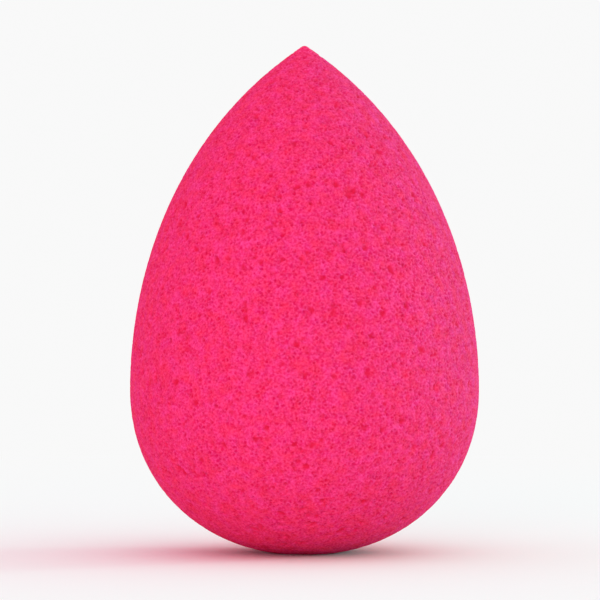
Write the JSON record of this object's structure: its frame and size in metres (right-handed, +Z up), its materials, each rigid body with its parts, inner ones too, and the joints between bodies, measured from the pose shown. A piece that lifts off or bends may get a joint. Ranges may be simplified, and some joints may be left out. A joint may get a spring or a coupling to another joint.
{
  "type": "makeup sponge",
  "caption": "Teardrop makeup sponge of open-cell foam, with a round end that it stands on, a full girth and a pointed tip.",
  "frame": {"origin": "centre of the rest flat on the round end, which is also the bottom centre of the whole sponge", "axes": "+Z up the axis of the drop to its tip; the drop is round about Z, so X and Y only fix where the pores lie, and the picture looks along +Y"},
  "size_m": [0.0412, 0.0412, 0.06],
  "materials": {
    "foam": "matt open-cell foam, hot pink, with fine cells and scattered larger pores"
  },
  "bodies": {
    "root": {"foam_body": "foam"}
  },
  "joints": []
}
